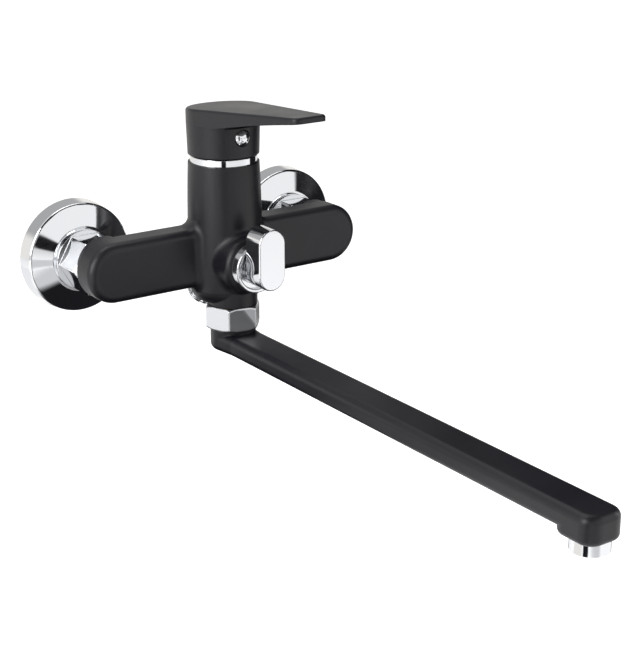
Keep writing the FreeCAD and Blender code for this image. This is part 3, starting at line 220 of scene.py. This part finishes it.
looks = {make.__name__: make() for make in (black_coat, chrome, brass, rubber, white_plastic, disc_ceramic, steel)}
for entry in subparts:
    mesh = nodes[entry["node"]].data
    mesh.materials.clear()
    mesh.materials.append(looks[entry["material_slot"]])
nodes["spout_nut"].data.materials[0] = chrome("chrome_round", corner=0.0013)
nodes["diverter_bonnet"].data.materials[0] = chrome("chrome_soft", rough=0.14)


# Threaded pieces, each in place of its plain solid
PITCH = 0.001814  # G1/2
THREAD_DEPTH = 0.00116
THREAD_STEPS = 90
RUN_OUT = 0.0018  # over which the thread gets shallower
END_DEPTH = 0.6  # share of the depth that is left at the free end
AROUND = 80
SHARP = math.radians(38)

UNION_OFFSET = Vector((0, 0, 0.010))  # from the wall end's axis to the tap end's
UNION_BEND = 0.010  # from the wall to the end of the slanting neck
UNION_LENGTH = 0.0337  # from the wall to the tap end's face
UNION_BORE = 0.0065
UNION_TAP_RADIUS = 0.01322
UNION_FACE_RADIUS = 0.0122
UNION_CHAMFER = 0.001
UNION_THREAD_CHAMFER = 0.0012

NIPPLE_BORE = 0.006
NIPPLE_ROOT_RADIUS = 0.0085
NIPPLE_ROOT_LENGTH = 0.0135
COLLAR_RADIUS = 0.0116
COLLAR_LENGTH = 0.002
COLLAR_BACK_RADIUS, COLLAR_BACK_CHAMFER = 0.0113, 0.0003
COLLAR_FRONT_RADIUS, COLLAR_FRONT_CHAMFER = 0.0112, 0.0004
NIPPLE_THREAD_CHAMFER = 0.001


def thread(base, axis, radius, length, chamfer):
    """Rings of a rounded thread from base along axis: run out at the base, chamfered at the end."""
    rings = []
    for i in range(THREAD_STEPS + 1):
        t = length * i / THREAD_STEPS
        deep = THREAD_DEPTH * min(1.0, t / RUN_OUT, (length - t) / RUN_OUT + END_DEPTH)
        limit = radius - max(0.0, t - (length - chamfer))
        rings.append((base + axis * t, [
            min(limit, radius - deep * (0.5 - 0.5 * math.cos(2 * math.pi * (t / PITCH - k / AROUND))))
            for k in range(AROUND)]))
    return rings


def plain_ring(centre, radius):
    return centre, [radius] * AROUND


def ring_piece(name, axis, rings, node):
    """A closed tube through the rings, in place of a node."""
    side = axis.orthogonal().normalized()
    up = axis.cross(side)
    points = []
    for centre, radii in rings:
        for k, radius in enumerate(radii):
            turn = 2 * math.pi * k / AROUND
            points.append(centre + (side * math.cos(turn) + up * math.sin(turn)) * radius)
    faces = []
    count = len(rings)
    for i in range(count):
        here, after = i * AROUND, (i + 1) % count * AROUND
        for k in range(AROUND):
            beside = (k + 1) % AROUND
            faces.append((here + k, here + beside, after + beside, after + k))
    mesh = bpy.data.meshes.new(name)
    mesh.from_pydata(points, [], faces)
    shell = bmesh.new()
    shell.from_mesh(mesh)
    bmesh.ops.recalc_face_normals(shell, faces=shell.faces)
    shell.to_mesh(mesh)
    shell.free()
    mesh.shade_smooth()
    mesh.set_sharp_from_angle(angle=SHARP)
    piece = bpy.data.objects.new(name, mesh)
    scene.collection.objects.link(piece)
    entry = next(e for e in subparts if e["node"] == node)
    mesh.materials.append(looks[entry["material_slot"]])
    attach(piece, "tap_body")
    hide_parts(node)


def threaded_union(side):
    """Eccentric union: threaded wall end, slanting neck, tap end and the passage through them."""
    mount = mounts[f"wall_inlet_{side}"]
    wall = Vector(mount["pos_m"])
    axis = Vector(mount["axis"])
    length = mount["dims"]["length_mm"] / 1000
    tap = wall + UNION_OFFSET
    bend = tap - axis * UNION_BEND
    face = tap - axis * UNION_LENGTH
    rings = thread(wall, axis, mount["dims"]["r_mm"] / 1000, length, UNION_THREAD_CHAMFER)
    rings += [plain_ring(wall + axis * length, UNION_BORE),
              plain_ring(wall, UNION_BORE),
              plain_ring(bend, UNION_BORE),
              plain_ring(face, UNION_BORE),
              plain_ring(face, UNION_FACE_RADIUS),
              plain_ring(tap - axis * (UNION_LENGTH - UNION_CHAMFER), UNION_TAP_RADIUS),
              plain_ring(bend, UNION_TAP_RADIUS)]
    ring_piece(f"threaded_union_{side}", axis, rings, f"eccentric_union_{side}")


def threaded_nipple():
    """Shower hose connection: collar, thread and passage."""
    mount = mounts["shower_outlet"]
    axis = Vector(mount["axis"]).normalized()
    length = mount["dims"]["length_mm"] / 1000
    base = Vector(mount["pos_m"]) - axis * (length / 2)
    face = base - axis * COLLAR_LENGTH
    root = face - axis * NIPPLE_ROOT_LENGTH
    rings = thread(base, axis, mount["dims"]["r_mm"] / 1000, length, NIPPLE_THREAD_CHAMFER)
    rings += [plain_ring(base + axis * length, NIPPLE_BORE),
              plain_ring(root, NIPPLE_BORE),
              plain_ring(root, NIPPLE_ROOT_RADIUS),
              plain_ring(face, NIPPLE_ROOT_RADIUS),
              plain_ring(face, COLLAR_BACK_RADIUS),
              plain_ring(face + axis * COLLAR_BACK_CHAMFER, COLLAR_RADIUS),
              plain_ring(base - axis * COLLAR_FRONT_CHAMFER, COLLAR_RADIUS),
              plain_ring(base, COLLAR_FRONT_RADIUS)]
    ring_piece("threaded_nipple", axis, rings, "shower_nipple")


threaded_union("left")
threaded_union("right")
threaded_nipple()


# Floor, white surroundings, soft lights, and studio cards that only mirrors see, which paint reflections, pale and
# dark
MIDDLE = Vector((0.075, -0.10, 0.02))
UP, DOWN, FRONT, BACK, LEFT = (0, 0, 1), (0, 0, -1), (0, -1, 0), (0, 1, 0), (-1, 0, 0)
FLOOR_SIZE = 12.0
FLOOR_COLOUR = (0.8, 0.8, 0.8, 1.0)
FLOOR_SEEN = 0.75  # glow towards the camera
FLOOR_MIRRORED = 0.44  # glow towards mirrors
WORLD_LIGHT = 0.35  # as a light, while the camera and mirrors see 1
PLAIN_WHITE = (1.0, 1.0, 1.0, 1.0)


def under(drop):
    """Height of a place below the tap."""
    return cad_low.z - drop


def flat_panel(name, centre, normal, width, height):
    """A rectangle with its face towards the normal."""
    mesh = bpy.data.meshes.new(name)
    w, h = width / 2, height / 2
    mesh.from_pydata([(-w, -h, 0), (w, -h, 0), (w, h, 0), (-w, h, 0)], [], [(0, 1, 2, 3)])
    panel = bpy.data.objects.new(name, mesh)
    scene.collection.objects.link(panel)
    panel.location = centre
    panel.rotation_mode = "QUATERNION"
    panel.rotation_quaternion = Vector(normal).to_track_quat("Z", "Y")
    return panel


def empty_material(name):
    material = bpy.data.materials.new(name)
    material.use_nodes = True
    tree = material.node_tree
    tree.nodes.clear()
    return material, tree


def math_node(tree, operation):
    node = tree.nodes.new("ShaderNodeMath")
    node.operation = operation
    return node


def card_material(name, width, height, level, soft):
    """An even glow that fades out towards the card's edges."""
    material, tree = empty_material(name)
    glow = tree.nodes.new("ShaderNodeEmission")
    glow.inputs["Color"].default_value = (*level, 1.0)
    place = tree.nodes.new("ShaderNodeTexCoord")
    split = tree.nodes.new("ShaderNodeSeparateXYZ")
    tree.links.new(place.outputs["Object"], split.inputs[0])
    cover = math_node(tree, "MULTIPLY")
    for i, half in enumerate((width / 2, height / 2)):
        off = math_node(tree, "ABSOLUTE")
        tree.links.new(split.outputs[i], off.inputs[0])
        fade = tree.nodes.new("ShaderNodeMapRange")
        fade.interpolation_type = "SMOOTHSTEP"
        fade.inputs["From Min"].default_value = half - soft
        fade.inputs["From Max"].default_value = half
        fade.inputs["To Min"].default_value = 1.0
        fade.inputs["To Max"].default_value = 0.0
        tree.links.new(off.outputs[0], fade.inputs["Value"])
        tree.links.new(fade.outputs["Result"], cover.inputs[i])
    clear = tree.nodes.new("ShaderNodeBsdfTransparent")
    both = tree.nodes.new("ShaderNodeMixShader")
    tree.links.new(cover.outputs[0], both.inputs["Fac"])
    tree.links.new(clear.outputs[0], both.inputs[1])
    tree.links.new(glow.outputs[0], both.inputs[2])
    out = tree.nodes.new("ShaderNodeOutputMaterial")
    tree.links.new(both.outputs[0], out.inputs["Surface"])
    return material


def card(name, centre, normal, width, height, level, soft):
    """A studio card that only mirrors see: a painted reflection, pale for the light levels and dark for BLACK,
    which lights and shades nothing.
    """
    panel = flat_panel(name, centre, normal, width, height)
    panel.visible_camera = False
    panel.visible_diffuse = False
    panel.visible_shadow = False
    panel.visible_transmission = False
    panel.visible_volume_scatter = False
    panel.data.materials.append(card_material(name, width, height, level, soft))


def far_card(name, bearing, rise, distance, width, height, level, soft):
    """A card that faces the tap from a bearing, counted from +X, and a rise above the horizon."""
    turn, lift = math.radians(bearing), math.radians(rise)
    outward = Vector((math.cos(turn) * math.cos(lift), math.sin(turn) * math.cos(lift), math.sin(lift)))
    card(name, MIDDLE + outward * distance, -outward, width, height, level, soft)


def floor_material():
    """White to the camera and to mirrors, and still darker where the object shades it."""
    material, tree = empty_material("floor")
    out = tree.nodes.new("ShaderNodeOutputMaterial")
    diffuse = tree.nodes.new("ShaderNodeBsdfDiffuse")
    diffuse.inputs["Color"].default_value = FLOOR_COLOUR
    glow = tree.nodes.new("ShaderNodeEmission")
    glow.inputs["Color"].default_value = PLAIN_WHITE
    path = tree.nodes.new("ShaderNodeLightPath")
    mirrored = math_node(tree, "MULTIPLY")
    mirrored.inputs[1].default_value = FLOOR_MIRRORED
    tree.links.new(path.outputs["Is Glossy Ray"], mirrored.inputs[0])
    strength = math_node(tree, "MULTIPLY_ADD")
    strength.inputs[1].default_value = FLOOR_SEEN
    tree.links.new(path.outputs["Is Camera Ray"], strength.inputs[0])
    tree.links.new(mirrored.outputs[0], strength.inputs[2])
    tree.links.new(strength.outputs[0], glow.inputs["Strength"])
    both = tree.nodes.new("ShaderNodeAddShader")
    tree.links.new(diffuse.outputs[0], both.inputs[0])
    tree.links.new(glow.outputs[0], both.inputs[1])
    tree.links.new(both.outputs[0], out.inputs["Surface"])
    return material


def make_world():
    """White to the camera and to mirrors, dimmer as a light."""
    world = bpy.data.worlds.new("surroundings")
    scene.world = world
    world.use_nodes = True
    tree = world.node_tree
    background = tree.nodes["Background"]
    background.inputs["Color"].default_value = PLAIN_WHITE
    path = tree.nodes.new("ShaderNodeLightPath")
    first = math_node(tree, "MAXIMUM")
    tree.links.new(path.outputs["Is Camera Ray"], first.inputs[0])
    tree.links.new(path.outputs["Is Glossy Ray"], first.inputs[1])
    second = math_node(tree, "MAXIMUM")
    tree.links.new(first.outputs[0], second.inputs[0])
    tree.links.new(path.outputs["Is Transmission Ray"], second.inputs[1])
    level = tree.nodes.new("ShaderNodeMapRange")
    level.inputs["To Min"].default_value = WORLD_LIGHT
    level.inputs["To Max"].default_value = 1.0
    tree.links.new(second.outputs[0], level.inputs["Value"])
    tree.links.new(level.outputs["Result"], background.inputs["Strength"])


def soft_light(name, centre, width, height, watts):
    """A rectangular lamp that points at the tap."""
    data = bpy.data.lights.new(name, "AREA")
    data.shape = "RECTANGLE"
    data.size = width
    data.size_y = height
    data.energy = watts
    lamp = bpy.data.objects.new(name, data)
    scene.collection.objects.link(lamp)
    lamp.location = centre
    lamp.rotation_mode = "QUATERNION"
    lamp.rotation_quaternion = (MIDDLE - Vector(centre)).to_track_quat("-Z", "Y")


scene.view_settings.view_transform = "Standard"
make_camera()
make_world()
floor = flat_panel("floor", (MIDDLE.x, -0.2, under(0.12)), UP, FLOOR_SIZE, FLOOR_SIZE)
floor.data.materials.append(floor_material())
soft_light("top_light", (0.0, -0.25, 1.1), 0.9, 0.9, 7.0)
soft_light("left_light", (-1.1, -0.35, 0.5), 0.5, 1.0, 8.0)
soft_light("right_light", (1.1, -0.7, 0.4), 0.3, 0.8, 1.5)

BLACK = (0.012, 0.012, 0.014)
GREY = (0.38, 0.38, 0.39)
HAZE = (0.45, 0.45, 0.45)
PALE = (0.70, 0.70, 0.71)
CREAM = (0.93, 0.91, 0.87)
WHITE = (0.96, 0.96, 0.97)
# Each card: name, centre, facing, width, height, level, width of its soft edge
# Painted reflections below the tap, dark and pale, for the lower halves of the escutcheons, the spout and its nut;
# low_card and left_low_card also paint the shade near the foot of the column and on the near top of the spout
card("low_card", (0.115, -0.075, under(0.038)), UP, 0.47, 0.32, BLACK, 0.08)
card("left_low_card", (-0.08, -0.13, under(0.008)), LEFT, 0.12, 0.07, BLACK, 0.02)
card("spout_card", (-0.005, -0.19, under(0.018)), UP, 0.13, 0.16, PALE, 0.03)
card("grey_card", (0.14, -0.30, under(0.045)), UP, 0.12, 0.14, GREY, 0.02)
# Painted reflections lying on the floor, pale and dark, for the aerator, the rims and the nuts
card("front_floor_card", (-0.12, -0.72, under(0.118)), UP, 0.55, 0.36, PALE, 0.08)
card("left_floor_card", (-0.38, 0.06, under(0.118)), UP, 0.34, 0.30, WHITE, 0.08)
card("rim_card", (-0.14, 0.36, under(0.116)), UP, 0.36, 0.36, WHITE, 0.05)
card("aerator_card", (-0.15, -0.29, under(0.116)), UP, 0.18, 0.24, CREAM, 0.04)
card("rear_floor_card", (0.225, 0.30, under(0.08)), UP, 0.35, 0.40, BLACK, 0.08)
card("strip_foot", (-0.17, -0.47, under(0.115)), UP, 0.13, 0.13, BLACK, 0.02)
# Painted reflections round the tap and above it, pale and dark, for the rims, the trim ring, the knob and the tops
card("rear_low_card", (0.5, 0.9, 0.05), FRONT, 3.8, 0.80, CREAM, 0.20)
card("rear_high_card", (0.5, 0.95, 0.70), FRONT, 3.8, 1.60, HAZE, 0.20)
card("side_low_card", (0.505, -0.095, -0.055), LEFT, 0.33, 0.27, BLACK, 0.03)
card("side_high_card", (0.50, -0.015, 0.34), LEFT, 0.83, 0.72, BLACK, 0.05)
card("left_card", (-0.053, -0.709, 0.008), BACK, 0.11, 0.125, BLACK, 0.02)
card("ceiling_card", (0.0, -0.60, 0.95), DOWN, 2.6, 1.2, BLACK, 0.10)
far_card("front_strip", -124.6, 0, 0.45, 0.15, 0.42, BLACK, 0.02)
far_card("camera_card", -114, 34, 1.0, 0.7, 0.45, BLACK, 0.10)
